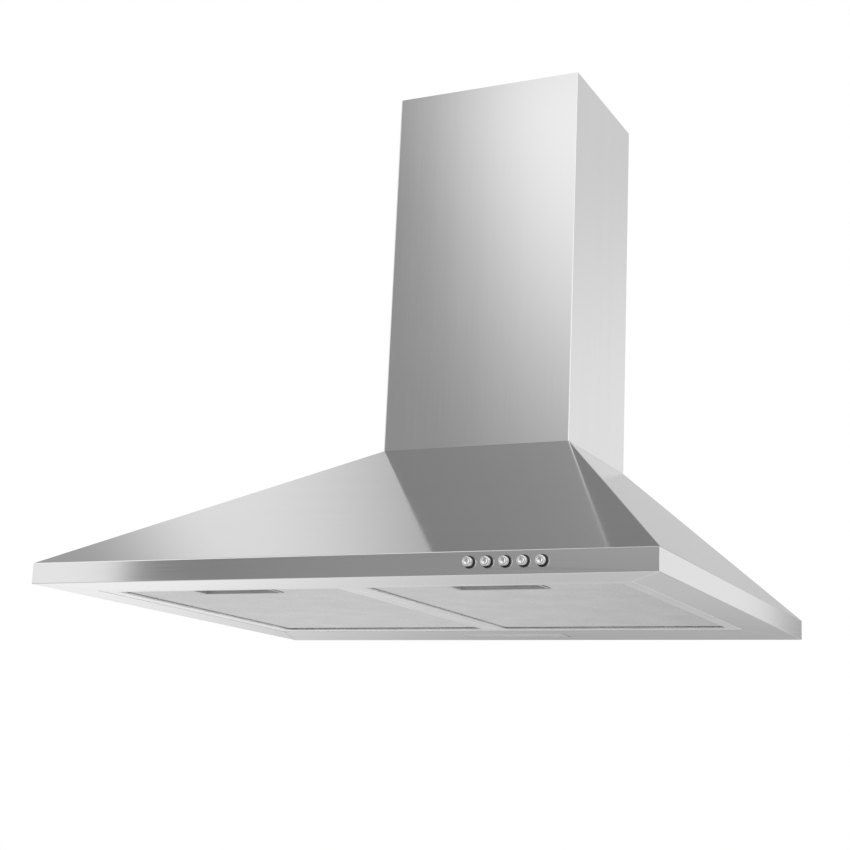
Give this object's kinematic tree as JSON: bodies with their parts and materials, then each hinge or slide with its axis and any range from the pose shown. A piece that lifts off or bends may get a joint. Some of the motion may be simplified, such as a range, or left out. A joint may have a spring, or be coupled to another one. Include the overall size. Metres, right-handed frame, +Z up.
{
  "type": "range hood",
  "caption": "Wall-mounted chimney range hood: pyramid canopy with drop-down grease filters, push buttons, lamp, blower and a telescoping square chimney.",
  "frame": {"origin": "on the wall plane, at the canopy's bottom edge, in the middle of its width", "axes": "+X to the right seen from the front, +Y into the wall, +Z up"},
  "size_m": [0.6, 0.494, 0.5865],
  "materials": {
    "stainless": "fine horizontal brushing, satin",
    "zinc_sheet": "zinc-coated sheet, dull",
    "filter_aluminium": "rolled aluminium section, satin",
    "filter_mesh": "perforated aluminium sheet",
    "filter_foil": "pleated foil",
    "cup_plastic": "grey moulded plastic",
    "latch_plastic": "darker grey moulded plastic",
    "button_chrome": "bright chrome plating",
    "guide_plastic": "dark moulded plastic",
    "spring_steel": "bright drawn wire and rod",
    "screw_steel": "zinc-plated screws",
    "blower_plastic": "dark grey moulded plastic",
    "wheel_plastic": "grey moulded plastic",
    "hub_metal": "turned and pressed aluminium",
    "motor_metal": "zinc-coated motor can",
    "switch_plastic": "pale moulded plastic",
    "lamp_plastic": "white moulded plastic",
    "lamp_lens": "frosted diffuser",
    "lamp_board": "white solder mask",
    "capacitor_case": "pale moulded case"
  },
  "bodies": {
    "hood": {"canopy_shell": "stainless", "back_panel": "zinc_sheet", "front_flange": "stainless", "rear_flange": "stainless", "left_flange": "stainless", "right_flange": "stainless", "top_frame": "zinc_sheet", "chimney_neck": "zinc_sheet", "hanger_plates": "zinc_sheet", "chimney_cover": "stainless", "switch_block": "switch_plastic", "button_guides": "guide_plastic", "button_springs": "spring_steel", "lamp_housing": "lamp_plastic", "lamp_lens": "lamp_lens", "lamp_board": "lamp_board", "lamp_clips": "zinc_sheet", "casing_left": "blower_plastic", "casing_right": "blower_plastic", "inlet_ring_left": "blower_plastic", "inlet_ring_right": "blower_plastic", "inlet_guard": "blower_plastic", "motor_can": "motor_metal", "motor_bracket": "zinc_sheet", "motor_screws": "screw_steel", "blower_screws": "screw_steel", "outlet_collar": "blower_plastic", "flap_pin": "spring_steel", "collar_screws": "screw_steel", "control_box": "switch_plastic", "cable_gland": "guide_plastic", "capacitor": "capacitor_case"},
    "upper_chimney": {"chimney_upper": "stainless", "chimney_bracket": "zinc_sheet", "bracket_screws": "screw_steel"},
    "filter_left": {"filter_left_frame": "filter_aluminium", "filter_left_mesh": "filter_mesh", "filter_left_core": "filter_foil", "filter_left_cup": "cup_plastic", "filter_left_springs": "spring_steel"},
    "latch_left": {"filter_left_latch": "latch_plastic"},
    "filter_right": {"filter_right_frame": "filter_aluminium", "filter_right_mesh": "filter_mesh", "filter_right_core": "filter_foil", "filter_right_cup": "cup_plastic", "filter_right_springs": "spring_steel"},
    "latch_right": {"filter_right_latch": "latch_plastic"},
    "key_off": {"button_off": "button_chrome"},
    "key_speed_1": {"button_speed_1": "button_chrome"},
    "key_speed_2": {"button_speed_2": "button_chrome"},
    "key_speed_3": {"button_speed_3": "button_chrome"},
    "key_light": {"button_light": "button_chrome"},
    "fan": {"impeller": "wheel_plastic", "wheel_hub": "hub_metal", "motor_shaft": "spring_steel"},
    "front_flap": {"flap_front": "hub_metal"},
    "rear_flap": {"flap_rear": "hub_metal"}
  },
  "joints": [
    {"name": "chimney_slide", "type": "slide", "parent": "hood", "child": "upper_chimney", "axis": [0, 0, 1], "range_m": [0, 0.33]},
    {"name": "filter_left_tilt", "type": "hinge", "parent": "hood", "child": "filter_left", "pos_m": [-0.13105, -0.0908, 0.0002], "axis": [1, 0, 0], "range_deg": [0, 75]},
    {"name": "latch_left_slide", "type": "slide", "parent": "filter_left", "child": "latch_left", "axis": [0, 1, 0], "range_m": [0, 0.005], "stiffness_N_per_m": 250, "springref_m": -0.004, "deforming": ["filter_left_springs"]},
    {"name": "filter_right_tilt", "type": "hinge", "parent": "hood", "child": "filter_right", "pos_m": [0.13105, -0.0908, 0.0002], "axis": [1, 0, 0], "range_deg": [0, 75]},
    {"name": "latch_right_slide", "type": "slide", "parent": "filter_right", "child": "latch_right", "axis": [0, 1, 0], "range_m": [0, 0.005], "stiffness_N_per_m": 250, "springref_m": -0.004, "deforming": ["filter_right_springs"]},
    {"name": "button_off_press", "type": "slide", "parent": "hood", "child": "key_off", "axis": [0, 1, 0], "range_m": [0, 0.003], "stiffness_N_per_m": 900, "springref_m": -0.002, "deforming": ["button_springs"]},
    {"name": "button_speed_1_press", "type": "slide", "parent": "hood", "child": "key_speed_1", "axis": [0, 1, 0], "range_m": [0, 0.003], "stiffness_N_per_m": 900, "springref_m": -0.002, "deforming": ["button_springs"]},
    {"name": "button_speed_2_press", "type": "slide", "parent": "hood", "child": "key_speed_2", "axis": [0, 1, 0], "range_m": [0, 0.003], "stiffness_N_per_m": 900, "springref_m": -0.002, "deforming": ["button_springs"]},
    {"name": "button_speed_3_press", "type": "slide", "parent": "hood", "child": "key_speed_3", "axis": [0, 1, 0], "range_m": [0, 0.003], "stiffness_N_per_m": 900, "springref_m": -0.002, "deforming": ["button_springs"]},
    {"name": "button_light_press", "type": "slide", "parent": "hood", "child": "key_light", "axis": [0, 1, 0], "range_m": [0, 0.003], "stiffness_N_per_m": 900, "springref_m": -0.002, "deforming": ["button_springs"]},
    {"name": "impeller_spin", "type": "hinge", "parent": "hood", "child": "fan", "pos_m": [0, -0.07693, 0.112], "axis": [-1, 0, 0], "continuous": true},
    {"name": "front_flap_swing", "type": "hinge", "parent": "hood", "child": "front_flap", "pos_m": [0, -0.0984, 0.219], "axis": [-1, 0, 0], "range_deg": [0, 75]},
    {"name": "rear_flap_swing", "type": "hinge", "parent": "hood", "child": "rear_flap", "pos_m": [0, -0.0984, 0.219], "axis": [1, 0, 0], "range_deg": [0, 75]}
  ]
}
